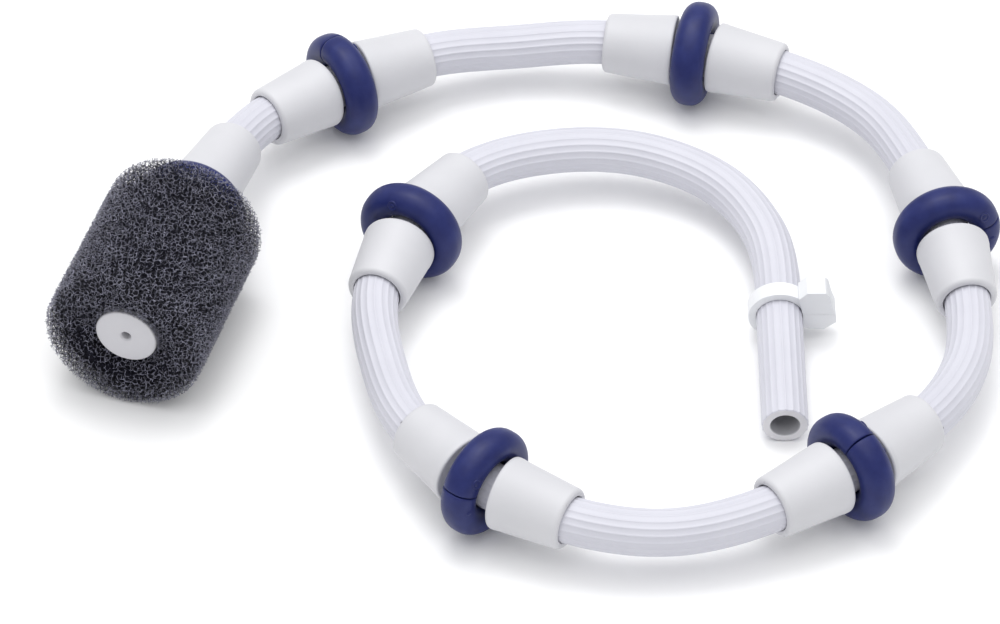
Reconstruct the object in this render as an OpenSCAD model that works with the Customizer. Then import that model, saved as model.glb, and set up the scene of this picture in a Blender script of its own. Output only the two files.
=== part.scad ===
// Sweep hose assembly of a pressure-side pool cleaner: a flexible hose laid in a loose
// spiral, six pairs of tapered sleeves with a split wear ring turning between each pair,
// a seventh ring in front of a foam tail scrubber, a jet cap and a snap-grip hose clamp.
// Millimetres, +Z up. The origin is on the floor, under the middle of the footprint.

/* [Hose] */
// Outer radius of the hose
hose_r = 8; // [7.8:0.1:8]
// Radius of the water passage
passage_r = 5; // [4:0.5:6]

/* [Sleeves] */
// Radius of a sleeve at the end that faces the wear ring
sleeve_big_r = 12.8; // [12:0.1:13]
// Radius of a sleeve at its small end
sleeve_small_r = 10.8; // [10.8:0.1:11.5]
// Length of a sleeve
sleeve_len = 25.5; // [24:0.5:28]

/* [Wear rings] */
// Outer radius of a wear ring
ring_r = 19; // [18:0.5:19]
// Width of a wear ring along the hose
ring_w = 12; // [11:0.5:12]
// Radius of the hole that turns on the hose
ring_bore_r = 8.5; // [8.4:0.1:8.8]
// Width of the slit that lets a ring snap over the hose
ring_slit = 0.4; // [0.2:0.1:0.8]

/* [Tail scrubber] */
// Outer radius of the foam
foam_r = 28; // [26:0.5:28]
// Length of the foam
foam_len = 64; // [60:1:64]
// Depth of the dished front face of the foam
foam_dish = 4; // [3:0.5:5]
// Radius of the jet cap's disc
cap_r = 10.9; // [10:0.1:10.9]
// Radius of the jet hole
jet_r = 1.7; // [1:0.1:2]

/* [Hose clamp] */
// Width of the clamp's band along the hose
clamp_w = 6; // [5:0.5:8]
// Thickness of the clamp's band
clamp_t = 2.6; // [2:0.1:2.8]
// Gap between the band and the hose
clamp_gap = 0.1; // [0.05:0.05:0.1]

/* [Hidden] */
$fn = 64;

// The hose's centre line, from its open mouth to the jet cap. The hose is straight in its
// first and last stretches. Four points make a wear station: a sleeve lies between the
// first two, a wear ring between the middle two and a sleeve between the last two.
ROUTE = [
    [85.5, -67, 8], [85.5, -8, 11.1],
    [81, 25, 13.5], [68, 46, 14.5], [41, 60.5, 16.5], [8, 61, 18],
    [-22.3, 47.7, 19], [-38.2, 25.9, 19], [-45.9, 10.8, 19], [-53.6, -14, 19],
    [-50.5, -48, 17.5],
    [-40.2, -78.7, 19], [-22.3, -98.9, 19], [-9.8, -109.1, 19], [12.5, -122, 19],
    [45, -125.5, 17],
    [77, -117.3, 19], [99.4, -102, 19], [111.8, -92.8, 19], [132, -75.5, 19],
    [147, -48, 17],
    [150.2, -16.2, 16.7], [146.5, 9.9, 19], [143.5, 25.4, 19], [135.8, 51, 19],
    [121, 82.5, 17],
    [92.3, 101.9, 19], [66.9, 111.2, 19], [52.7, 114.9, 19], [26.5, 119.5, 19],
    [-6, 120, 16.3],
    [-37, 112, 19], [-61.1, 100.7, 19], [-75, 91.8, 19], [-94, 75.8, 21],
    [-105, 56, 25], [-116, 27.5, 27.5], [-120.5, 13.5, 28], [-137, -41.5, 28]
];
// Where each station starts in ROUTE, and the angle of its ring's slit
STATIONS = [6, 11, 16, 21, 26, 31];
SLITS = [330, 246, 196, 250, 20, 198, 40];
// The tail sleeve starts here, with the seventh ring and the hub after it
TAIL = 35;
LAST = len(ROUTE) - 1;

tube_sides = 12;
tube_steps = 2;        // rings of the swept tube for each stretch of the route
tube_inset = 0.05;     // the swept tube is this much thinner than the straight ends
tube_overlap = 2;      // how far the swept tube runs into the straight ends
rim_r = 0.8;           // rounding of a sleeve's rim beside the ring
end_r = 1.6;           // rounding of a sleeve's small end
foam_gap = 0.35;       // gap round the hub and the cap
foam_edge = 3;         // rounding of the foam's outer edges
dish_r = 20;           // outer radius of the dish in the foam's front face
foam_start = 0.8;      // from the hub's big end to the foam's rear face
skirt = 3.2;           // how far the foam's rear rim reaches back round the seventh ring
skirt_r = 19.6;        // inner radius of that rim where it meets the rear face
skirt_slope = 1.4;     // how much wider the rim is at its lip
cap_t = 3;             // thickness of the cap's disc
cap_edge = 0.7;        // rounding of the disc's rim
stem_len = 16;         // the cap's stem, pushed into the hose
stem_gap = 0.02;       // the stem's clearance in the hose
clamp_back = 5.2;      // from the end of the hose's straight stretch to the clamp
jaw_w = 8.2;           // width of the clamp's jaws along the hose
parting = 1.6;         // height of the line of teeth where the jaws meet
hinge_r = 0.9;         // bead of the clamp's thin hinge
hinge_gap = 0.08;      // clearance round the bead
tooth = 1.6;           // pitch of the clamp's teeth
tooth_h = 0.7;         // height of the clamp's teeth
teeth = 5;             // number of the clamp's teeth
tooth_gap = 0.12;      // gap between the teeth of the two jaws
// Corners of the two jaws after the last tooth, seen along the hose: the lower jaw has
// a thumb rest below its teeth and the upper jaw a taller one above them
LOWER_JAW = [[19.5, parting], [19.8, -1.9], [15.6, -5.4], [10.5, -5.2], [8.6, -4.6]];
UPPER_JAW = [[19.4, parting + tooth_gap], [18.2, 5], [16.8, 10.8], [15.4, 12.4], [9.2, 12.4],
             [6.4, 9.2]];
arc_steps = 6;

function unit(v) = v / norm(v);
function arc(centre, r, from, to) =
    [for (i = [0 : arc_steps])
        let (a = from + (to - from) * i / arc_steps)
        centre + r * [cos(a), sin(a)]];

// Puts a child, drawn up the Z axis, on the line between two points
module along(from, to) {
    step = to - from;
    translate(from)
        rotate([0, atan2(norm([step.x, step.y]), step.z), atan2(step.y, step.x)])
            children();
}

// Direction of the hose at a point of the route; the nearer neighbour counts more
function heading(i) =
    i == 1 ? unit(ROUTE[1] - ROUTE[0]) :
    i == LAST - 1 ? unit(ROUTE[LAST] - ROUTE[LAST - 1]) :
    let (back = ROUTE[i] - ROUTE[i - 1],
         ahead = ROUTE[i + 1] - ROUTE[i])
    unit(back / norm(back) * norm(ahead) + ahead / norm(ahead) * norm(back));

// A point on the smooth curve from point i of the route to the next, with t from 0 to 1
function curve(i, t) =
    let (reach = norm(ROUTE[i + 1] - ROUTE[i]))
    (2 * t^3 - 3 * t^2 + 1) * ROUTE[i] + (3 * t^2 - 2 * t^3) * ROUTE[i + 1]
    + (t^3 - 2 * t^2 + t) * reach * heading(i)
    + (t^3 - t^2) * reach * heading(i + 1);

function curve_points() =
    concat([ROUTE[1] - tube_overlap * heading(1)],
           [for (i = [1 : LAST - 2], s = [0 : tube_steps - 1]) curve(i, s / tube_steps)],
           [ROUTE[LAST - 1], ROUTE[LAST - 1] + tube_overlap * heading(LAST - 1)]);

// Points round a centre, square to the direction of the path
function ring_points(centre, direction, r) =
    let (side = unit(cross(direction, [0, 0, 1])),
         up = cross(side, direction))
    [for (k = [0 : tube_sides - 1])
        let (a = 360 * k / tube_sides)
        centre + r * (cos(a) * side + sin(a) * up)];

function skin(path, r) =
    [for (i = [0 : len(path) - 1])
        each ring_points(path[i],
                         unit(path[min(i + 1, len(path) - 1)] - path[max(i - 1, 0)]), r)];

// A hollow tube swept along the curved part of the route
module swept_tube(r_out, r_in) {
    path = curve_points();
    rings = len(path);
    s = tube_sides;
    inner = rings * s;
    outside = [for (i = [0 : rings - 2], k = [0 : s - 1])
        [i * s + k, i * s + (k + 1) % s, (i + 1) * s + (k + 1) % s, (i + 1) * s + k]];
    inside = [for (face = outside)
        [face[3] + inner, face[2] + inner, face[1] + inner, face[0] + inner]];
    first = [for (k = [0 : s - 1])
        [inner + k, inner + (k + 1) % s, (k + 1) % s, k]];
    end = (rings - 1) * s;
    last = [for (k = [0 : s - 1])
        [end + k, end + (k + 1) % s, inner + end + (k + 1) % s, inner + end + k]];
    polyhedron(points = concat(skin(path, r_out), skin(path, r_in)),
               faces = concat(outside, inside, first, last), convexity = 10);
}

module straight_tube(from, to) {
    length = norm(to - from);
    along(from, to)
        difference() {
            cylinder(h = length, r = hose_r);
            translate([0, 0, -1]) cylinder(h = length + 2, r = passage_r);
        }
}

module hose() color("whitesmoke") {
    straight_tube(ROUTE[0], ROUTE[1]);
    swept_tube(hose_r - tube_inset, passage_r / cos(180 / tube_sides) + tube_inset);
    straight_tube(ROUTE[LAST - 1], ROUTE[LAST]);
}

// A tapered tube with rounded rims, its big end at the floor of its own frame
module sleeve(length) color("white")
    rotate_extrude()
        polygon(concat(
            [[hose_r, 0]],
            arc([sleeve_big_r - rim_r, rim_r], rim_r, -90, 0),
            arc([sleeve_small_r - end_r, length - end_r], end_r, 4, 90),
            [[hose_r, length]]));

// The sleeve before a station's ring lies between its first two points of the route
module front_sleeve(station)
    along(ROUTE[station + 1], ROUTE[station]) sleeve(sleeve_len);

module rear_sleeve(station)
    along(ROUTE[station + 2], ROUTE[station + 3]) sleeve(sleeve_len);

// A split ring of rounded section, centred on the gap between two sleeves
module wear_ring(station, slit) color([0.18, 0.2, 0.42]) {
    half = (ring_r - ring_bore_r) / 2;
    land = ring_w / 2 - half;
    middle = (ROUTE[station + 1] + ROUTE[station + 2]) / 2;
    along(middle, ROUTE[station + 2])
        rotate([0, 0, slit])
            difference() {
                rotate_extrude()
                    translate([ring_bore_r + half, 0]) {
                        translate([0, land]) circle(r = half);
                        translate([0, -land]) circle(r = half);
                        square([2 * half, 2 * land], center = true);
                    }
                translate([0, -ring_slit / 2, -ring_w])
                    cube([ring_r + 1, ring_slit, 2 * ring_w]);
            }
}

module tail_sleeve()
    along(ROUTE[TAIL + 1], ROUTE[TAIL])
        sleeve(norm(ROUTE[TAIL + 1] - ROUTE[TAIL]));

// The tail's own frame starts at the hub's big end and points at the jet cap
module on_tail() along(ROUTE[LAST - 1], ROUTE[LAST]) children();
function tail_len() = norm(ROUTE[LAST] - ROUTE[LAST - 1]);

module foam_hub() on_tail() sleeve(sleeve_len);

// Foam roller, bored to follow the hub, with a dished front face round the cap
module foam_scrubber() color([0.26, 0.26, 0.3])
    on_tail() {
        front = foam_start + foam_len;
        back = foam_start - skirt;
        rotate_extrude()
            polygon(concat(
                [[sleeve_big_r + foam_gap, foam_start],
                 [skirt_r, foam_start],
                 [skirt_r + skirt_slope, back]],
                arc([foam_r - foam_edge, back + foam_edge], foam_edge, -90, 0),
                arc([foam_r - foam_edge, front - foam_edge], foam_edge, 0, 90),
                [[dish_r, front],
                 [cap_r + 2 * foam_gap, front - foam_dish],
                 [sleeve_small_r + foam_gap, front - foam_dish - 1],
                 [sleeve_small_r + foam_gap, sleeve_len + foam_start]]));
    }

// End cap: a disc against the hose's end and a drilled stem inside the hose
module jet_cap() color("white")
    on_tail() translate([0, 0, tail_len()])
        difference() {
            union() {
                rotate_extrude()
                    polygon(concat(
                        [[0, 0], [cap_r, 0]],
                        arc([cap_r - cap_edge, cap_t - cap_edge], cap_edge, 0, 90),
                        [[0, cap_t]]));
                translate([0, 0, -stem_len]) cylinder(h = stem_len + 1, r = passage_r - stem_gap);
            }
            translate([0, 0, -stem_len - 1]) cylinder(h = stem_len + cap_t + 2, r = jet_r);
        }

// The clamp's frame: X to the jaws, Y up, Z along the hose to its open mouth
module on_clamp()
    along(ROUTE[1] - clamp_back * heading(1), ROUTE[0]) rotate([0, 0, 90]) children();

band_in = hose_r + clamp_gap;
band_out = band_in + clamp_t;
hinge_x = hinge_r - band_out;

// The part of a flat shape below the line where the clamp opens: the middle of the hose
// on the hinge's side, and the line of the teeth on the side of the jaws
module below_parting() {
    translate([-2 * band_out, -2 * band_out]) square([2 * band_out, 2 * band_out]);
    translate([0, -2 * band_out]) square([3 * band_out, 2 * band_out + parting]);
}

module above_parting() {
    translate([-2 * band_out, 0]) square([2 * band_out, 2 * band_out]);
    translate([0, parting + tooth_gap]) square([3 * band_out, 2 * band_out]);
}

// A row of teeth, given as the points of its zigzag from left to right
function saw(height) =
    [for (i = [0 : 2 * teeth])
        [band_out + i * tooth / 2, height + (i % 2 == 0 ? 0 : tooth_h)]];

module band_face()
    difference() {
        circle(r = band_out);
        circle(r = band_in);
    }

// Lower half of the clamp: half of the band, the hinge bead and the toothed lower jaw
module clamp_base() color([0.93, 0.95, 0.96])
    on_clamp() {
        linear_extrude(clamp_w, center = true)
            intersection() {
                band_face();
                below_parting();
            }
        translate([hinge_x, 0, 0]) cylinder(h = clamp_w, r = hinge_r, center = true);
        linear_extrude(jaw_w, center = true)
            difference() {
                polygon(concat([[hose_r, parting]], saw(parting), LOWER_JAW));
                circle(r = band_in);
            }
    }

// Upper half of the clamp, which lifts on the hinge
module clamp_jaw() color([0.93, 0.95, 0.96])
    on_clamp() {
        base = parting + tooth_gap;
        difference() {
            linear_extrude(clamp_w, center = true)
                intersection() {
                    band_face();
                    above_parting();
                }
            translate([hinge_x, 0, -clamp_w]) cylinder(h = 2 * clamp_w, r = hinge_r + hinge_gap);
        }
        linear_extrude(jaw_w, center = true)
            difference() {
                polygon(concat([[hose_r, base]], saw(base), UPPER_JAW));
                circle(r = band_in);
            }
    }

hose();
front_sleeve(STATIONS[0]);  // sleeve_1_front
rear_sleeve(STATIONS[0]);  // sleeve_1_rear
front_sleeve(STATIONS[1]);  // sleeve_2_front
rear_sleeve(STATIONS[1]);  // sleeve_2_rear
front_sleeve(STATIONS[2]);  // sleeve_3_front
rear_sleeve(STATIONS[2]);  // sleeve_3_rear
front_sleeve(STATIONS[3]);  // sleeve_4_front
rear_sleeve(STATIONS[3]);  // sleeve_4_rear
front_sleeve(STATIONS[4]);  // sleeve_5_front
rear_sleeve(STATIONS[4]);  // sleeve_5_rear
front_sleeve(STATIONS[5]);  // sleeve_6_front
rear_sleeve(STATIONS[5]);  // sleeve_6_rear
wear_ring(STATIONS[0], SLITS[0]);  // wear_ring_1
wear_ring(STATIONS[1], SLITS[1]);  // wear_ring_2
wear_ring(STATIONS[2], SLITS[2]);  // wear_ring_3
wear_ring(STATIONS[3], SLITS[3]);  // wear_ring_4
wear_ring(STATIONS[4], SLITS[4]);  // wear_ring_5
wear_ring(STATIONS[5], SLITS[5]);  // wear_ring_6
wear_ring(TAIL, SLITS[6]);  // wear_ring_7
tail_sleeve();
foam_hub();
foam_scrubber();
jet_cap();
clamp_base();
clamp_jaw();
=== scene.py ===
"""Looks of the pool cleaner's sweep hose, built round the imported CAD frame.

Lengths are in metres. The route of the hose is the one that part.scad sweeps.
"""
import itertools
import math

import bmesh
import bpy
import numpy as np
from mathutils import Matrix, Vector


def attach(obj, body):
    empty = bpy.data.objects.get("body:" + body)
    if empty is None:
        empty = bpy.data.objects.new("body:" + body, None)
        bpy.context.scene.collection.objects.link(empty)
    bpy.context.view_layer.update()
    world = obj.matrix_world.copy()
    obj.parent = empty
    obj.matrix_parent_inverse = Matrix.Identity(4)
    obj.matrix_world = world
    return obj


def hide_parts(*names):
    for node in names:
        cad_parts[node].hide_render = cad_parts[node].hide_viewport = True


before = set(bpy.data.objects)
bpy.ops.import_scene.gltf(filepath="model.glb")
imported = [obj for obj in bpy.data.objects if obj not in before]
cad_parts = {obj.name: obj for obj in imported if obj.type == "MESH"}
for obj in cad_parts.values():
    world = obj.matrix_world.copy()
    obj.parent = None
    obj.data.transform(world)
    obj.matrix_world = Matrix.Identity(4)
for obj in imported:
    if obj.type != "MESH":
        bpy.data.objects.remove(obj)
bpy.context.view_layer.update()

MM = 0.001

# ---------------------------------------------------------------- driving dimensions

# Centre line of the hose from its open mouth to the jet cap, as in part.scad
ROUTE = np.array([
    (0.0855, -0.067, 0.008), (0.0855, -0.008, 0.0111),
    (0.081, 0.025, 0.0135), (0.068, 0.046, 0.0145), (0.041, 0.0605, 0.0165), (0.008, 0.061, 0.018),
    (-0.0223, 0.0477, 0.019), (-0.0382, 0.0259, 0.019),
    (-0.0459, 0.0108, 0.019), (-0.0536, -0.014, 0.019),
    (-0.0505, -0.048, 0.0175),
    (-0.0402, -0.0787, 0.019), (-0.0223, -0.0989, 0.019),
    (-0.0098, -0.1091, 0.019), (0.0125, -0.122, 0.019),
    (0.045, -0.1255, 0.017),
    (0.077, -0.1173, 0.019), (0.0994, -0.102, 0.019),
    (0.1118, -0.0928, 0.019), (0.132, -0.0755, 0.019),
    (0.147, -0.048, 0.017),
    (0.1502, -0.0162, 0.0167), (0.1465, 0.0099, 0.019),
    (0.1435, 0.0254, 0.019), (0.1358, 0.051, 0.019),
    (0.121, 0.0825, 0.017),
    (0.0923, 0.1019, 0.019), (0.0669, 0.1112, 0.019),
    (0.0527, 0.1149, 0.019), (0.0265, 0.1195, 0.019),
    (-0.006, 0.12, 0.0163),
    (-0.037, 0.112, 0.019), (-0.0611, 0.1007, 0.019),
    (-0.075, 0.0918, 0.019), (-0.094, 0.0758, 0.021),
    (-0.105, 0.056, 0.025), (-0.116, 0.0275, 0.0275),
    (-0.1205, 0.0135, 0.028), (-0.137, -0.0415, 0.028),
])
LAST = len(ROUTE) - 1
STATIONS = [6, 11, 16, 21, 26, 31]  # first route point of each pair of sleeves
TAIL = 35  # first route point of the tail sleeve
HOSE_R = 8.0 * MM
PASSAGE_R = 5.0 * MM
SLEEVE_BIG_R = 12.8 * MM
SLEEVE_SMALL_R = 10.8 * MM
SLEEVE_LEN = 25.5 * MM
RING_R = 19 * MM
RING_W = 12 * MM
RING_BORE_R = 8.5 * MM
FOAM_R = 28 * MM
FOAM_LEN = 64 * MM
FOAM_START = 0.8 * MM
SKIRT = 3.2 * MM  # how far the foam's rear rim reaches back round the seventh ring
SKIRT_R = 19.6 * MM
SKIRT_SLOPE = 1.4 * MM
CLAMP_BACK = 5.2 * MM  # from the end of the straight stretch to the middle of the clamp
CAP_R = 10.9 * MM
CAP_T = 3 * MM
JET_R = 1.7 * MM
SLITS = [330, 246, 196, 250, 20, 198, 40]  # angle of each ring's slit, in degrees

# ---------------------------------------------------------------- camera, light, floor

CAMERA_ELEVATION = math.radians(43.71)
CAMERA_DISTANCE = 1.6951
CAMERA_TARGET = Vector((-0.011, -0.003, 0))
LENS_MM = 174.83
WORLD_LIGHT = 0.67
FLOOR_HALF = 3.0


def aim(obj, target):
    obj.rotation_euler = (target - obj.location).to_track_quat("-Z", "Y").to_euler()


def make_camera():
    data = bpy.data.cameras.new("camera")
    data.lens = LENS_MM
    data.sensor_width = 36
    data.clip_end = 20
    camera = bpy.data.objects.new("camera", data)
    bpy.context.scene.collection.objects.link(camera)
    away = Vector((0, -math.cos(CAMERA_ELEVATION), math.sin(CAMERA_ELEVATION)))
    camera.location = CAMERA_TARGET + CAMERA_DISTANCE * away
    aim(camera, CAMERA_TARGET)
    bpy.context.scene.camera = camera


def area_light(name, location, side, power):
    """A square light that shines on the middle of the floor."""
    data = bpy.data.lights.new(name, "AREA")
    data.shape = "RECTANGLE"
    data.size = data.size_y = side
    data.energy = power
    light = bpy.data.objects.new(name, data)
    bpy.context.scene.collection.objects.link(light)
    light.location = location
    aim(light, Vector((0, 0, 0)))


def make_lights():
    area_light("ceiling", (0, 0.1, 1.6), 2.4, 23)
    area_light("key", (-0.15, 0.4, 1.7), 0.7, 7)
    world = bpy.data.worlds.new("studio")
    bpy.context.scene.world = world
    world.use_nodes = True
    back = world.node_tree.nodes["Background"]
    back.inputs["Color"].default_value = (0.98, 0.985, 1, 1)
    back.inputs["Strength"].default_value = WORLD_LIGHT


# ---------------------------------------------------------------- node materials


def new_material(name, roughness, specular=0.5):
    """A Principled material, with its node tree and its shader node."""
    material = bpy.data.materials.new(name)
    material.use_nodes = True
    tree = material.node_tree
    shader = tree.nodes["Principled BSDF"]
    shader.inputs["Roughness"].default_value = roughness
    shader.inputs["Specular IOR Level"].default_value = specular
    return material, tree, shader


def add_noise(tree, scale, detail=3):
    """Noise in object space, which on every piece is the row frame in metres."""
    where = tree.nodes.new("ShaderNodeTexCoord")
    noise = tree.nodes.new("ShaderNodeTexNoise")
    noise.inputs["Scale"].default_value = scale
    noise.inputs["Detail"].default_value = detail
    noise.inputs["Roughness"].default_value = 0.55
    tree.links.new(where.outputs["Object"], noise.inputs["Vector"])
    return noise.outputs["Fac"]


def colour_ramp(tree, factor, stops):
    """A ramp from (position, colour) stops."""
    ramp = tree.nodes.new("ShaderNodeValToRGB")
    elements = ramp.color_ramp.elements
    while len(elements) < len(stops):
        elements.new(0.5)
    for element, (position, colour) in zip(elements, stops):
        element.position = position
        element.color = (*colour, 1)
    tree.links.new(factor, ramp.inputs["Fac"])
    return ramp.outputs["Color"]


def value_range(tree, factor, low, high):
    """Spreads a factor from 0 to 1 over another range."""
    node = tree.nodes.new("ShaderNodeMapRange")
    node.inputs["To Min"].default_value = low
    node.inputs["To Max"].default_value = high
    tree.links.new(factor, node.inputs["Value"])
    return node.outputs["Result"]


def add_bump(tree, shader, height, distance):
    bump = tree.nodes.new("ShaderNodeBump")
    bump.inputs["Distance"].default_value = distance
    bump.inputs["Strength"].default_value = 1.0
    tree.links.new(height, bump.inputs["Height"])
    tree.links.new(bump.outputs["Normal"], shader.inputs["Normal"])


def plastic(name, dark, light, roughness, grain_scale, grain_depth, blotch_scale=45, specular=0.5):
    """Moulded plastic: faint blotches of colour and gloss, and a fine surface grain."""
    material, tree, shader = new_material(name, roughness, specular)
    blotch = add_noise(tree, blotch_scale)
    colour = colour_ramp(tree, blotch, [(0.3, dark), (0.7, light)])
    gloss = value_range(tree, blotch, roughness - 0.05, roughness + 0.07)
    tree.links.new(colour, shader.inputs["Base Color"])
    tree.links.new(gloss, shader.inputs["Roughness"])
    add_bump(tree, shader, add_noise(tree, grain_scale, detail=4), grain_depth)
    return material


def foam_shade_core_material():
    """Painted shade for the deep inside of the foam behind the modelled struts: near-black, with
    faint cell edges over darker holes.
    """
    material, tree, shader = new_material("foam_shade_core", 0.9, 0.1)
    where = tree.nodes.new("ShaderNodeTexCoord")
    cells = tree.nodes.new("ShaderNodeTexVoronoi")
    cells.feature = "DISTANCE_TO_EDGE"
    cells.inputs["Scale"].default_value = 560
    tree.links.new(where.outputs["Object"], cells.inputs["Vector"])
    # Near-black cell colours: painted shade standing for the dark depths of the foam
    colours = colour_ramp(tree, cells.outputs["Distance"],
                          [(0.02, (0.012, 0.012, 0.02)), (0.12, (0.003, 0.003, 0.006))])
    tree.links.new(colours, shader.inputs["Base Color"])
    add_bump(tree, shader, cells.outputs["Distance"], -0.4 * MM)
    return material


def foam_strut_material(name, dark, light, roughness, specular):
    """Glossy dark struts: most of what is seen of them is the light they mirror."""
    material, tree, shader = new_material(name, roughness, specular)
    tone = add_noise(tree, 1000, detail=2)
    colour = colour_ramp(tree, tone, [(0.35, dark), (0.65, light)])
    tree.links.new(colour, shader.inputs["Base Color"])
    return material


def floor_material():
    material, tree, shader = new_material("floor", 0.6, 0.2)
    stops = [(0.3, (0.94, 0.94, 0.94)), (0.7, (0.95, 0.95, 0.95))]
    tone = colour_ramp(tree, add_noise(tree, 3), stops)
    tree.links.new(tone, shader.inputs["Base Color"])
    return material


HOSE_MATERIAL = plastic("hose_vinyl", (0.57, 0.57, 0.63), (0.6, 0.6, 0.66), 0.45, 900, 0.03 * MM)
# The cut end is the same vinyl, painted lighter than the skin: painted light on the end face
CUT_END_LIGHT_MATERIAL = plastic("hose_cut_end_painted_light", (0.68, 0.67, 0.69), (0.76, 0.75, 0.77), 0.6, 1500, 0.04 * MM)
# The bore is the same vinyl, painted darker as shade inside the hose
BORE_SHADE_MATERIAL = plastic("hose_bore_painted_shade", (0.46, 0.46, 0.48), (0.52, 0.52, 0.54), 0.6, 900, 0.03 * MM)
SLEEVE_MATERIAL = plastic("sleeve_plastic", (0.58, 0.58, 0.605), (0.61, 0.61, 0.635), 0.5,
                          1400, 0.02 * MM)
RING_MATERIAL = plastic("ring_plastic", (0.009, 0.014, 0.095), (0.016, 0.024, 0.13), 0.42,
                        2200, 0.02 * MM, blotch_scale=160, specular=0.3)
CAP_MATERIAL = plastic("cap_plastic", (0.57, 0.565, 0.595), (0.61, 0.605, 0.635), 0.55,
                       1600, 0.02 * MM)
CLAMP_MATERIAL = plastic("clamp_nylon", (0.78, 0.79, 0.81), (0.81, 0.82, 0.84), 0.5,
                         1200, 0.015 * MM)

# ---------------------------------------------------------------- mesh helpers


def unit(v):
    return v / np.linalg.norm(v)


def new_piece(name, vertices, faces, material, body, node, smooth_angle):
    """A mesh object that rides on a body and stands for a CAD node, alone or with others."""
    mesh = bpy.data.meshes.new(name)
    mesh.from_pydata([tuple(v) for v in vertices], [], [tuple(int(i) for i in f) for f in faces])
    mesh.validate()
    mesh.materials.append(material)
    mesh.polygons.foreach_set("use_smooth", [True] * len(mesh.polygons))
    mesh.set_sharp_from_angle(angle=math.radians(smooth_angle))
    piece = bpy.data.objects.new(name, mesh)
    bpy.context.scene.collection.objects.link(piece)
    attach(piece, body)
    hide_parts(node)
    return piece


def axes_along(start, end):
    """Rows: two directions across the line and one along it. The first points down."""
    ahead = unit(end - start)
    down = unit(np.cross(np.cross(ahead, (0, 0, -1)), ahead))
    return np.array([down, np.cross(ahead, down), ahead])


def revolve(profile, segments):
    """Turns (radius, height) points about Z."""
    angles = 2 * math.pi * np.arange(segments) / segments
    profile = np.asarray(profile, float)
    count = len(profile)
    points = [(r * math.cos(a), r * math.sin(a), z) for a in angles for r, z in profile]
    faces = []
    for i in range(segments):
        for k in range(count - 1):
            a, b = i * count + k, ((i + 1) % segments) * count + k
            faces.append((a, b, b + 1, a + 1))
    return np.array(points), faces


def arc_points(centre, radius, start, end, steps):
    """Points of an arc, with its angles in degrees."""
    angles = np.radians(np.linspace(start, end, steps + 1))
    return [(centre[0] + radius * math.cos(a), centre[1] + radius * math.sin(a)) for a in angles]


def place(points, origin, axes):
    """Moves points from a local frame, whose axes are rows, to the row frame."""
    return np.asarray(points) @ axes + origin


# ---------------------------------------------------------------- the hose


def headings():
    """Direction of the hose at each point of the route; the nearer neighbour counts more."""
    result = []
    for i in range(LAST + 1):
        if i <= 1:
            result.append(unit(ROUTE[1] - ROUTE[0]))
        elif i >= LAST - 1:
            result.append(unit(ROUTE[LAST] - ROUTE[LAST - 1]))
        else:
            back, ahead = ROUTE[i] - ROUTE[i - 1], ROUTE[i + 1] - ROUTE[i]
            mixed = unit(back) * np.linalg.norm(ahead) + unit(ahead) * np.linalg.norm(back)
            result.append(unit(mixed))
    return result


def centre_line(step):
    """Points about a step apart on the smooth curve through the route."""
    ways = headings()
    points = []
    for i in range(LAST):
        here, there = ROUTE[i], ROUTE[i + 1]
        reach = np.linalg.norm(there - here)
        count = max(2, round(reach / step))
        for t in np.arange(count) / count:
            points.append((2 * t**3 - 3 * t**2 + 1) * here + (3 * t**2 - 2 * t**3) * there
                          + (t**3 - 2 * t**2 + t) * reach * ways[i]
                          + (t**3 - t**2) * reach * ways[i + 1])
    points.append(ROUTE[LAST])
    return np.array(points)


FLUTES = 20
RIDGE_ANGLES = [-9, -3.9, -3.1, -1.3, 1.3, 3.1, 3.9]  # degrees from the top of a ridge
RIDGE_DEPTHS = [0.2, 0.2, 0.15, 0.0, 0.0, 0.15, 0.2]  # millimetres below it
HOSE_STEP = 2.2 * MM
BORE_SIDES = 32
MOUTH_EDGE = 0.3 * MM  # bevel round the outside of the mouth
BORE_EDGE = 0.2 * MM  # bevel round the inside


def flute_profile():
    """Outline of the hose across its length: low ridges with shallow flats between."""
    outline = []
    for flute in range(FLUTES):
        for angle, depth in zip(RIDGE_ANGLES, RIDGE_DEPTHS):
            a = math.radians(360 * flute / FLUTES + angle)
            r = HOSE_R - depth * MM
            outline.append((r * math.cos(a), r * math.sin(a)))
    return np.array(outline)


def sweep(path, outline, scales):
    """Vertex rings of an outline carried along a path, kept upright and scaled at each point."""
    rings = []
    for i, (point, scale) in enumerate(zip(path, scales)):
        ahead = unit(path[min(i + 1, len(path) - 1)] - path[max(i - 1, 0)])
        side = unit(np.cross(ahead, (0, 0, 1)))
        up = np.cross(side, ahead)
        rings.append(point + scale * (outline[:, :1] * side + outline[:, 1:] * up))
    return rings


def bridge(first, second, count_first, count_second):
    """Faces between two closed rings whose counts of points may differ."""
    faces = []
    i = k = 0
    while i < count_first or k < count_second:
        step_first = (i + 1) / count_first <= (k + 1) / count_second
        a, b = first + i % count_first, second + k % count_second
        if i < count_first and (step_first or k >= count_second):
            faces.append((a, first + (i + 1) % count_first, b))
            i += 1
        else:
            faces.append((a, second + (k + 1) % count_second, b))
            k += 1
    return faces


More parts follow.
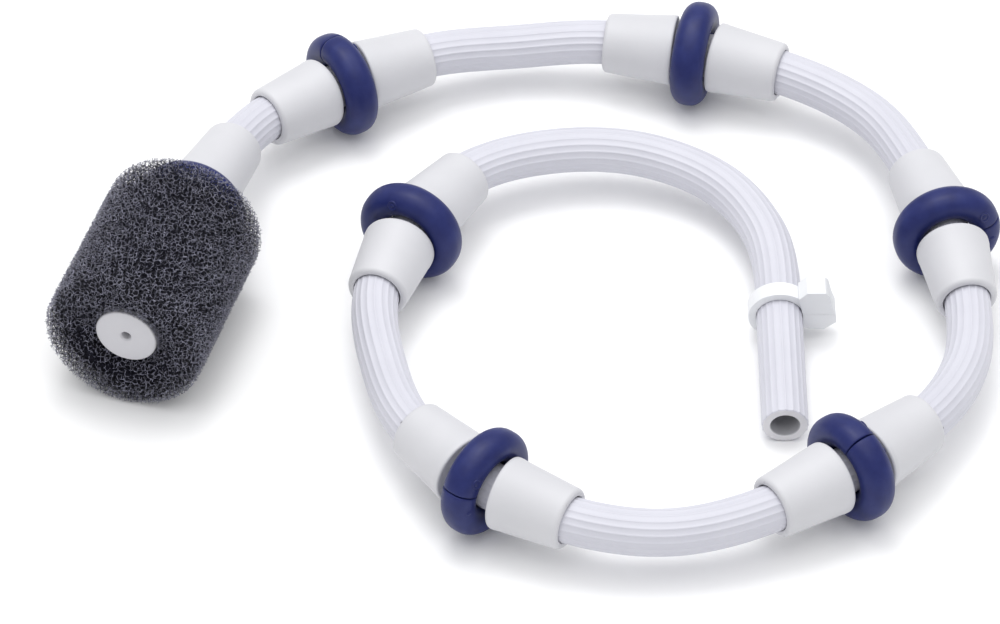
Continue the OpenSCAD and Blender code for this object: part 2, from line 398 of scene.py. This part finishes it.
def make_hose():
    path = centre_line(HOSE_STEP)
    inward = unit(path[1] - path[0])
    outline = flute_profile()
    circle_angles = 2 * math.pi * np.arange(BORE_SIDES) / BORE_SIDES
    circle = np.stack([np.cos(circle_angles), np.sin(circle_angles)], axis=1)

    # At the mouth the skin narrows and the bore widens, so both edges of the cut are blunt
    outer_path = np.vstack([path[:1], path[:1] + MOUTH_EDGE * inward, path[1:]])
    outer_scale = [1 - MOUTH_EDGE / HOSE_R] + [1] * len(path)
    outer = sweep(outer_path, outline, outer_scale)
    bore_path = np.vstack([path[:1], path[:1] + BORE_EDGE * inward, path[1:]])
    bore = sweep(bore_path, circle, [PASSAGE_R + BORE_EDGE] + [PASSAGE_R] * len(path))

    vertices = np.vstack(outer + bore)
    n, m, rings = len(outline), BORE_SIDES, len(outer)
    faces = []
    for i in range(rings - 1):
        for k in range(n):
            a, b = i * n + k, i * n + (k + 1) % n
            faces.append((a, a + n, b + n, b))
    inner = rings * n
    for i in range(rings - 1):
        for k in range(m):
            a, b = inner + i * m + k, inner + i * m + (k + 1) % m
            faces.append((a, b, b + m, a + m))
    bore_faces = len(faces) - (rings - 1) * n
    faces += bridge(0, inner, n, m)
    faces += [f[::-1] for f in bridge((rings - 1) * n, inner + (rings - 1) * m, n, m)]
    hose = new_piece("ribbed_hose", vertices, faces, HOSE_MATERIAL, "hose_line", "hose", 35)
    # Slots: 0 the skin, 1 the bore in painted shade, 2 the cut end painted lighter as light on the
    # end face
    hose.data.materials.append(BORE_SHADE_MATERIAL)
    hose.data.materials.append(CUT_END_LIGHT_MATERIAL)
    slots = [0] * ((rings - 1) * n) + [1] * bore_faces
    slots += [2] * (len(faces) - len(slots))
    hose.data.polygons.foreach_set("material_index", slots)


# ---------------------------------------------------------------- sleeves

SLEEVE_SIDES = 96
PIP_R = 0.55 * MM
PIP_H = 0.22 * MM


def sleeve_profile(length):
    """(radius, distance from the big end), all the way round the wall."""
    rim, end = 0.8 * MM, 1.6 * MM
    mouth = HOSE_R + 0.35 * MM
    waist = HOSE_R + 0.05 * MM
    profile = [(waist, 1.2 * MM), (mouth, 0)]
    profile += arc_points((SLEEVE_BIG_R - rim, rim), rim, -90, 0, 6)
    profile += [(SLEEVE_BIG_R - 0.02 * MM, 2.2 * MM), (SLEEVE_BIG_R - 0.16 * MM, 2.5 * MM)]
    profile += arc_points((SLEEVE_SMALL_R - end, length - end), end, 4, 90, 7)
    profile += [(mouth + 0.3 * MM, length), (mouth, length - 0.3 * MM),
                (mouth, length - 2.5 * MM), (waist, length - 3 * MM), (waist, 1.2 * MM)]
    return profile


def dome(centre, axes, radius, height, rings=3, sides=16):
    """A low round pip, standing along the third axis."""
    points, faces = [], []
    for i in range(rings):
        lift = math.cos(0.5 * math.pi * (rings - i) / rings)
        r = radius * math.sin(0.5 * math.pi * (rings - i) / rings)
        for k in range(sides):
            a = 2 * math.pi * k / sides
            points.append((r * math.cos(a), r * math.sin(a), height * lift))
        if i:
            for k in range(sides):
                a, b = (i - 1) * sides + k, (i - 1) * sides + (k + 1) % sides
                faces.append((a, b, b + sides, a + sides))
    points.append((0, 0, height))
    top = len(points) - 1
    for k in range(sides):
        faces.append(((rings - 1) * sides + k, (rings - 1) * sides + (k + 1) % sides, top))
    return place(points, centre, axes), faces


def join_meshes(parts):
    """Puts (points, faces) pairs into one."""
    vertices, faces, offset = [], [], 0
    for points, part_faces in parts:
        vertices.append(points)
        faces += [tuple(i + offset for i in f) for f in part_faces]
        offset += len(points)
    return np.vstack(vertices), faces


def make_sleeve(node, big, small, length, pip_angle):
    axes = axes_along(big, small)
    points, faces = revolve(sleeve_profile(length), SLEEVE_SIDES)
    body = place(points, big, axes), faces
    # The gate mark that moulding leaves on the small end
    a = math.radians(pip_angle)
    out = math.cos(a) * axes[0] + math.sin(a) * axes[1]
    pip_at = big + length * axes[2] + (HOSE_R + 1.5 * MM) * out
    pip = dome(pip_at, axes, PIP_R, PIP_H)
    points, faces = join_meshes([body, pip])
    piece = new_piece(f"{node}_shell", points, faces, SLEEVE_MATERIAL, "hose_line", node, 30)


def make_sleeves():
    for number, first in enumerate(STATIONS, start=1):
        outer, ring_side, next_ring_side, far = ROUTE[first:first + 4]
        make_sleeve(f"sleeve_{number}_front", ring_side, outer, SLEEVE_LEN, 70 * number)
        make_sleeve(f"sleeve_{number}_rear", next_ring_side, far, SLEEVE_LEN, 50 * number + 95)
    tail_length = float(np.linalg.norm(ROUTE[TAIL + 1] - ROUTE[TAIL]))
    make_sleeve("tail_sleeve", ROUTE[TAIL + 1], ROUTE[TAIL], tail_length, 20)
    make_sleeve("foam_hub", ROUTE[LAST - 1], ROUTE[LAST], SLEEVE_LEN, 200)


# ---------------------------------------------------------------- wear rings

RING_SIDES = 128
SECTION_STEPS = 16
HALF_SLIT = 0.22 * MM
SLIT_ENDS = [(0.0, 0.45), (0.1, 0.2), (0.3, 0.05), (0.6, 0.0)]  # mm in from the cut, mm of inset
RING_SECTION_R = (RING_R - RING_BORE_R) / 2
RING_LAND = RING_W / 2 - RING_SECTION_R  # half of the flat rim between the two rounded faces


def ring_section(inset):
    """Closed outline of the ring's round section, shrunk by an inset."""
    centre = RING_BORE_R + RING_SECTION_R
    r = RING_SECTION_R - inset
    top = arc_points((centre, RING_LAND), r, 0, 180, SECTION_STEPS)
    bottom = arc_points((centre, -RING_LAND), r, 180, 360, SECTION_STEPS)
    return np.array(top + bottom)


def ring_body(slit_angle):
    """A ring from one side of its slit to the other, its cut ends rounded over."""
    turns = [((HALF_SLIT + away * MM) / RING_R, inset * MM) for away, inset in SLIT_ENDS]
    steps = np.linspace(turns[-1][0], 2 * math.pi - turns[-1][0], RING_SIDES)[1:-1]
    last_turns = [(2 * math.pi - a, inset) for a, inset in turns[::-1]]
    stations = turns + [(a, 0.0) for a in steps] + last_turns
    points, faces = [], []
    for turn, inset in stations:
        a = turn + math.radians(slit_angle)
        for r, z in ring_section(inset):
            points.append((r * math.cos(a), r * math.sin(a), z))
    count = len(ring_section(0))
    for i in range(len(stations) - 1):
        for k in range(count):
            p, q = i * count + k, i * count + (k + 1) % count
            faces.append((p, p + count, q + count, q))
    faces.append(tuple(range(count)))
    faces.append(tuple(reversed(range((len(stations) - 1) * count, len(stations) * count))))
    return np.array(points), faces


# (radius, height) over the ring's surface: a round ridge with a dot in it, and a pip
CIRCLE_MARK = [(1.85 * MM, -0.7 * MM), (1.8 * MM, 0.08 * MM), (1.68 * MM, 0.16 * MM),
               (1.4 * MM, 0.16 * MM), (1.2 * MM, -0.02 * MM), (0.75 * MM, 0.02 * MM),
               (0.6 * MM, 0.14 * MM), (0, 0.18 * MM)]
PIP_MARK = [(0.9 * MM, -0.3 * MM), (0.85 * MM, 0.12 * MM), (0.6 * MM, 0.22 * MM), (0, 0.25 * MM)]
MARK_SIDES = 40
MARK_TILT = math.radians(74)  # from the ring's rim towards its face
CIRCLE_FROM_SLIT = -21  # degrees
PIP_FROM_SLIT = 22
FIRST_RING_CIRCLE = 196
MARKED_FACES = [1, 1, 1, -1, 1, -1, 1]  # 1: each ring's face towards the foam, -1: the other one


def ring_mark(angle, side, profile):
    """A moulding mark on one of the ring's two faces."""
    a = math.radians(angle)
    out = np.array((math.cos(a), math.sin(a), 0.0))
    centre = (RING_BORE_R + RING_SECTION_R) * out + np.array((0, 0, side * RING_LAND))
    normal = math.cos(MARK_TILT) * out + side * math.sin(MARK_TILT) * np.array((0, 0, 1))
    across = unit(np.cross(normal, out))
    axes = np.array([across, np.cross(normal, across), normal])
    points, faces = revolve(profile, MARK_SIDES)
    return place(points, centre + RING_SECTION_R * normal, axes), faces


def make_rings():
    firsts = [first + 1 for first in STATIONS] + [TAIL + 1]
    for number, (first, slit, face) in enumerate(zip(firsts, SLITS, MARKED_FACES), start=1):
        near, far = ROUTE[first], ROUTE[first + 1]
        circle_angle = FIRST_RING_CIRCLE if number == 1 else slit + CIRCLE_FROM_SLIT
        parts = [ring_body(slit)]
        parts.append(ring_mark(circle_angle, face, CIRCLE_MARK))
        parts.append(ring_mark(slit + PIP_FROM_SLIT, face, PIP_MARK))
        points, faces = join_meshes(parts)
        points = place(points, (near + far) / 2, axes_along(near, far))
        node = f"wear_ring_{number}"
        piece = new_piece(f"{node}_shell", points, faces, RING_MATERIAL, f"ring_{number}", node, 60)


# ---------------------------------------------------------------- jet cap and clamp


def tail_axes():
    return axes_along(ROUTE[LAST - 1], ROUTE[LAST])


def make_cap():
    edge = 0.7 * MM
    stem_end, stem_r = -16 * MM, PASSAGE_R - 0.02 * MM
    profile = [(JET_R, stem_end), (stem_r, stem_end), (stem_r, 0), (CAP_R, 0)]
    profile += arc_points((CAP_R - edge, CAP_T - edge), edge, 0, 90, 6)
    profile += [(JET_R + 0.7 * MM, CAP_T), (JET_R + 0.45 * MM, CAP_T - 0.08 * MM),
                (JET_R, CAP_T - 0.6 * MM), (JET_R, stem_end)]
    points, faces = revolve(profile, 128)
    piece = new_piece("jet_cap_shell", place(points, ROUTE[LAST], tail_axes()), faces,
                      CAP_MATERIAL, "hose_line", "jet_cap", 30)


CLAMP_ROUNDING = 0.55 * MM
PARTING_BOTTOM = -0.3 * MM  # the two halves meet between these heights
PARTING_TOP = 2.6 * MM


def clamp_edge_is_outside(edge, middle, upward):
    """True for an edge that reaches beyond the heights between which the halves meet."""
    heights = [(vertex.co - middle).dot(upward) for vertex in edge.verts]
    return max(heights) > PARTING_TOP or min(heights) < PARTING_BOTTOM


def make_clamp():
    """The two halves of the clamp as in the CAD model, with the rounded edges of a moulding."""
    outward = Vector(unit(ROUTE[0] - ROUTE[1]))
    middle = Vector(ROUTE[1]) + CLAMP_BACK * outward
    upward = outward.cross(Vector((1, 0, 0)))
    for node, body in (("clamp_base", "clamp_lower"), ("clamp_jaw", "clamp_upper")):
        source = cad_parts[node]
        half = bmesh.new()
        half.from_mesh(source.data)
        half.transform(source.matrix_world)
        bmesh.ops.remove_doubles(half, verts=half.verts, dist=0.002 * MM)
        bmesh.ops.dissolve_limit(half, angle_limit=math.radians(1), verts=half.verts,
                                 edges=half.edges)
        sharp = [edge for edge in half.edges if edge.is_manifold and edge.calc_face_angle() > 0.5
                 and clamp_edge_is_outside(edge, middle, upward)]
        bmesh.ops.bevel(half, geom=sharp, offset=CLAMP_ROUNDING, segments=3, profile=0.5,
                        affect="EDGES", clamp_overlap=True)
        half.verts.index_update()
        points = [vertex.co.copy() for vertex in half.verts]
        faces = [tuple(vertex.index for vertex in face.verts) for face in half.faces]
        half.free()
        piece = new_piece(f"{node}_shell", points, faces, CLAMP_MATERIAL, body, node, 30)


# ---------------------------------------------------------------- the foam


def lathe_outline(inset, edge):
    """(radius, distance along the tail) of the foam's skin, moved inwards by an inset."""
    dish = 4 * MM
    front = FOAM_START + FOAM_LEN
    back = FOAM_START - SKIRT
    hub = SLEEVE_BIG_R + 0.35 * MM
    bore = SLEEVE_SMALL_R + 0.35 * MM
    outline = [(hub + inset, FOAM_START + inset), (SKIRT_R + inset, FOAM_START + inset)]
    if inset < SKIRT / 2:
        outline.append((SKIRT_R + SKIRT_SLOPE + inset, back + inset))
        outline += arc_points((FOAM_R - edge, back + edge), edge - inset, -90, 0, 6)
    else:
        outline += arc_points((FOAM_R - edge, FOAM_START + edge), edge - inset, -90, 0, 6)
    outline += arc_points((FOAM_R - edge, front - edge), edge - inset, 0, 90, 6)
    outline += [(min(20 * MM, FOAM_R - edge), front - inset),
                (bore + 0.2 * MM + inset, front - dish - inset),
                (bore + inset, front - dish - 1 * MM), (bore + inset, SLEEVE_LEN + 2.5 * MM),
                (hub + inset, FOAM_START + inset)]
    return outline


CELL = 2.0 * MM  # pitch of the body-centred packing that the foam's cells start from
SHAKE = 0.15 * CELL  # how far each cell is then moved, on average, along each axis
STRUT_R = 0.085 * MM
SKIN_EDGE = 3 * MM  # rounding of the foam's outer edges
CORE_EDGE = 12 * MM  # the solid core is rounder, so light shows through the struts at the edges
CORE_INSET = 2.0 * MM
PAINTED_LIGHT_DEPTH = 0.65 * MM  # struts nearer to the skin than this get the lighter colours, painted light
SECTORS = 4


def packed_cells(reach):
    """Middles of cells packed in a cube, and for each the numbers of the 26 cells round it."""
    steps = 2 * math.ceil(2 * reach / CELL)
    places = np.stack(np.meshgrid(*[np.arange(steps)] * 3, indexing="ij"), axis=-1)
    # One step is half of the pitch: a cell sits where the three steps are all even or all odd
    is_cell = (places % 2 == places[..., :1] % 2).all(axis=-1)
    number = np.full((steps + 4,) * 3, -1)
    number[2:-2, 2:-2, 2:-2][is_cell] = np.arange(is_cell.sum())
    places = places[is_cell]
    later, earlier = [], []
    for way in itertools.product(range(-2, 3), repeat=3):
        if way[0] % 2 == way[1] % 2 == way[2] % 2 and 0 < sum(map(abs, way)) <= 4:
            beside = number[tuple((places + way + 2).T)]
            (later if way > (0, 0, 0) else earlier).append(beside)
    return places * CELL / 2 - reach, np.stack(later + earlier, axis=1), len(later)


def cells_meet(middles, around, later):
    """Points where four cells meet, with the numbers of the four."""
    trios = np.array(list(itertools.combinations(range(later), 3)))
    points, fours = [], []
    for first in range(0, len(middles), 1500):
        own = np.arange(first, min(first + 1500, len(middles)))
        beside = around[own]
        rel = np.where(beside[..., None] < 0, 1.0, middles[beside] - middles[own, None])
        square = (rel**2).sum(axis=-1)
        a, b, c = (rel[:, trios[:, k]] for k in range(3))
        bc, ca, ab = np.cross(b, c), np.cross(c, a), np.cross(a, b)
        volume = (a * bc).sum(axis=-1)
        volume[abs(volume) < 1e-6 * CELL**3] = np.inf
        weighted = sum(square[:, trios[:, k], None] * v for k, v in enumerate((bc, ca, ab)))
        meeting = weighted / (2 * volume[..., None])
        radius = (meeting**2).sum(axis=-1)
        near = (radius < (0.85 * CELL) ** 2) & (radius > 0) & (beside[:, trios] >= 0).all(axis=-1)
        row, trio = np.nonzero(near)
        meeting, radius = meeting[row, trio], radius[row, trio]
        # The point counts only if no fifth cell is nearer to it than the four
        gaps = ((rel[row] - meeting[:, None])**2).sum(axis=-1)
        alone = (gaps > radius[:, None] * (1 - 1e-6)).all(axis=-1)
        row, trio = row[alone], trio[alone]
        points.append(meeting[alone] + middles[own[row]])
        fours.append(np.column_stack([own[row], beside[row[:, None], trios[trio]]]))
    return np.vstack(points), np.vstack(fours)


def meeting_edges(fours, count):
    """Pairs of meeting points that share three of their four cells: the foam's struts."""
    fours = np.sort(fours, axis=1).astype(np.int64)
    shared = fours[:, [(0, 1, 2), (0, 1, 3), (0, 2, 3), (1, 2, 3)]].reshape(-1, 3)
    key = (shared[:, 0] * count + shared[:, 1]) * count + shared[:, 2]
    order = np.argsort(key, kind="stable")
    same = key[order][1:] == key[order][:-1]
    return order[:-1][same] // 4, order[1:][same] // 4


def outline_depth(points, outline):
    """How far (radius, height) points lie inside a closed outline; negative outside."""
    outline = np.asarray(outline)
    inside = np.zeros(len(points), bool)
    nearest = np.full(len(points), np.inf)
    for a, b in zip(outline[:-1], outline[1:]):
        edge = b - a
        if not edge.any():
            continue
        along = np.clip(((points - a) @ edge) / (edge @ edge), 0, 1)
        nearest = np.minimum(nearest, np.linalg.norm(points - a - along[:, None] * edge, axis=1))
        if edge[1]:
            crosses = (a[1] > points[:, 1]) != (b[1] > points[:, 1])
            inside ^= crosses & (points[:, 0] < a[0] + edge[0] * (points[:, 1] - a[1]) / edge[1])
    return np.where(inside, nearest, -nearest)


def foam_depth(points):
    """Depth of points below the foam's skin and below the surface of its solid core."""
    flat = np.stack([np.linalg.norm(points[:, :2], axis=1), points[:, 2]], axis=1)
    skin = lathe_outline(0, SKIN_EDGE)
    core = lathe_outline(CORE_INSET, CORE_EDGE)
    return outline_depth(flat, skin), outline_depth(flat, core)


def foam_struts():
    """Start and end points of the struts near the foam's skin, in the tail's own frame."""
    rng = np.random.default_rng(7)
    middles, around, later = packed_cells(1.15 * math.hypot(FOAM_R, FOAM_LEN / 2))
    # The packing is turned, so that none of its rows lies along the foam
    turned = Matrix.Rotation(0.6, 3, "X") @ Matrix.Rotation(0.35, 3, "Y")
    turned = np.array(turned @ Matrix.Rotation(1.1, 3, "Z"))
    middles = middles @ turned.T + np.array((0, 0, FOAM_START + FOAM_LEN / 2))
    middles += rng.normal(0, SHAKE, middles.shape)
    depth, core_depth = foam_depth(middles)
    kept = (depth > -1.2 * CELL) & (core_depth < 1.2 * CELL)
    renumbered = np.append(np.where(kept, np.cumsum(kept) - 1, -1), -1)
    middles, around = middles[kept], renumbered[around[kept]]
    corners, fours = cells_meet(middles, around, later)
    a, b = meeting_edges(fours, len(middles))
    depth, core_depth = foam_depth(corners)
    shown = (np.maximum(depth[a], depth[b]) > 0) & (np.minimum(core_depth[a], core_depth[b]) < 0)
    a, b = a[shown], b[shown]
    start, end = corners[a], corners[b]
    # A strut that leaves the foam is cut off near the skin, some a little proud of it
    cut = rng.uniform(-0.7, 0.2, len(a)) * MM
    for here, there, da, db in ((start, end, depth[a], depth[b]), (end, start, depth[b], depth[a])):
        out = da < cut
        share = ((cut - da) / np.where(out, db - da, 1))[:, None]
        here[out] = (here + np.clip(share, 0, 0.9) * (there - here))[out]
    return start, end, np.minimum(depth[a], depth[b]), rng


def strut_prisms(start, end, rng):
    """Six corners of a three-sided prism for each strut, the first three at its start."""
    ahead = end - start
    ahead /= np.linalg.norm(ahead, axis=1)[:, None]
    side = np.cross(ahead, rng.normal(size=ahead.shape))
    side /= np.linalg.norm(side, axis=1)[:, None]
    up = np.cross(ahead, side)
    radius = STRUT_R * rng.uniform(0.8, 1.25, len(start))[:, None]
    rim = []
    for turn in (0, 2 * math.pi / 3, 4 * math.pi / 3):
        rim.append(radius * (math.cos(turn) * side + math.sin(turn) * up))
    return np.stack([tip + r for tip in (start, end) for r in rim], axis=1)


def make_foam():
    axes, origin = tail_axes(), ROUTE[LAST - 1]
    points, faces = revolve(lathe_outline(CORE_INSET, CORE_EDGE), 128)
    # The solid core is painted near-black, as shade for the inside of the foam
    core = new_piece("foam_shade_core", place(points, origin, axes), faces,
                     foam_shade_core_material(), "scrubber", "foam_scrubber", 50)
    start, end, depth, rng = foam_struts()
    long_enough = np.linalg.norm(end - start, axis=1) > 0.1 * MM
    start, end, depth = start[long_enough], end[long_enough], depth[long_enough]
    corners = strut_prisms(start, end, rng)
    middle = (start + end) / 2
    turn = np.arctan2(middle[:, 1], middle[:, 0]) / (2 * math.pi) + 0.5
    sector = (turn * SECTORS).astype(int) % SECTORS
    prism = np.array([(0, 1, 4, 3), (1, 2, 5, 4), (2, 0, 3, 5)])
    # Lit and shaded copies of one dark strut colour: the outer struts keep the foam's dark tone
    # with lighter tones painted on as light, and the inner ones are near-black, painted shade
    outer = foam_strut_material("foam_outer_painted_light", (0.03, 0.03, 0.045), (0.4, 0.4, 0.52), 0.28, 1.0)
    inner = foam_strut_material("foam_inner_painted_shade", (0.01, 0.01, 0.016), (0.026, 0.026, 0.036), 0.5, 0.3)
    layers = [("outer", depth < PAINTED_LIGHT_DEPTH, outer), ("inner", depth >= PAINTED_LIGHT_DEPTH, inner)]
    for name, in_layer, material in layers:
        for i in range(SECTORS):
            own = corners[in_layer & (sector == i)]
            vertices = place(own.reshape(-1, 3), origin, axes)
            quads = (np.arange(len(own))[:, None, None] * 6 + prism).reshape(-1, 4)
            piece = new_piece(f"foam_struts_{name}_{i + 1}", vertices, quads, material,
                              "scrubber", "foam_scrubber", 180)


# ---------------------------------------------------------------- floor and finish


def make_floor():
    mesh = bpy.data.meshes.new("floor")
    corners = [(x * FLOOR_HALF, y * FLOOR_HALF, 0) for x, y in ((-1, -1), (1, -1), (1, 1), (-1, 1))]
    mesh.from_pydata(corners, [], [(0, 1, 2, 3)])
    mesh.materials.append(floor_material())
    floor = bpy.data.objects.new("floor", mesh)
    bpy.context.scene.collection.objects.link(floor)


bpy.context.scene.view_settings.view_transform = "Standard"
make_camera()
make_hose()
make_lights()
make_sleeves()
make_rings()
make_cap()
make_clamp()
make_foam()
make_floor()
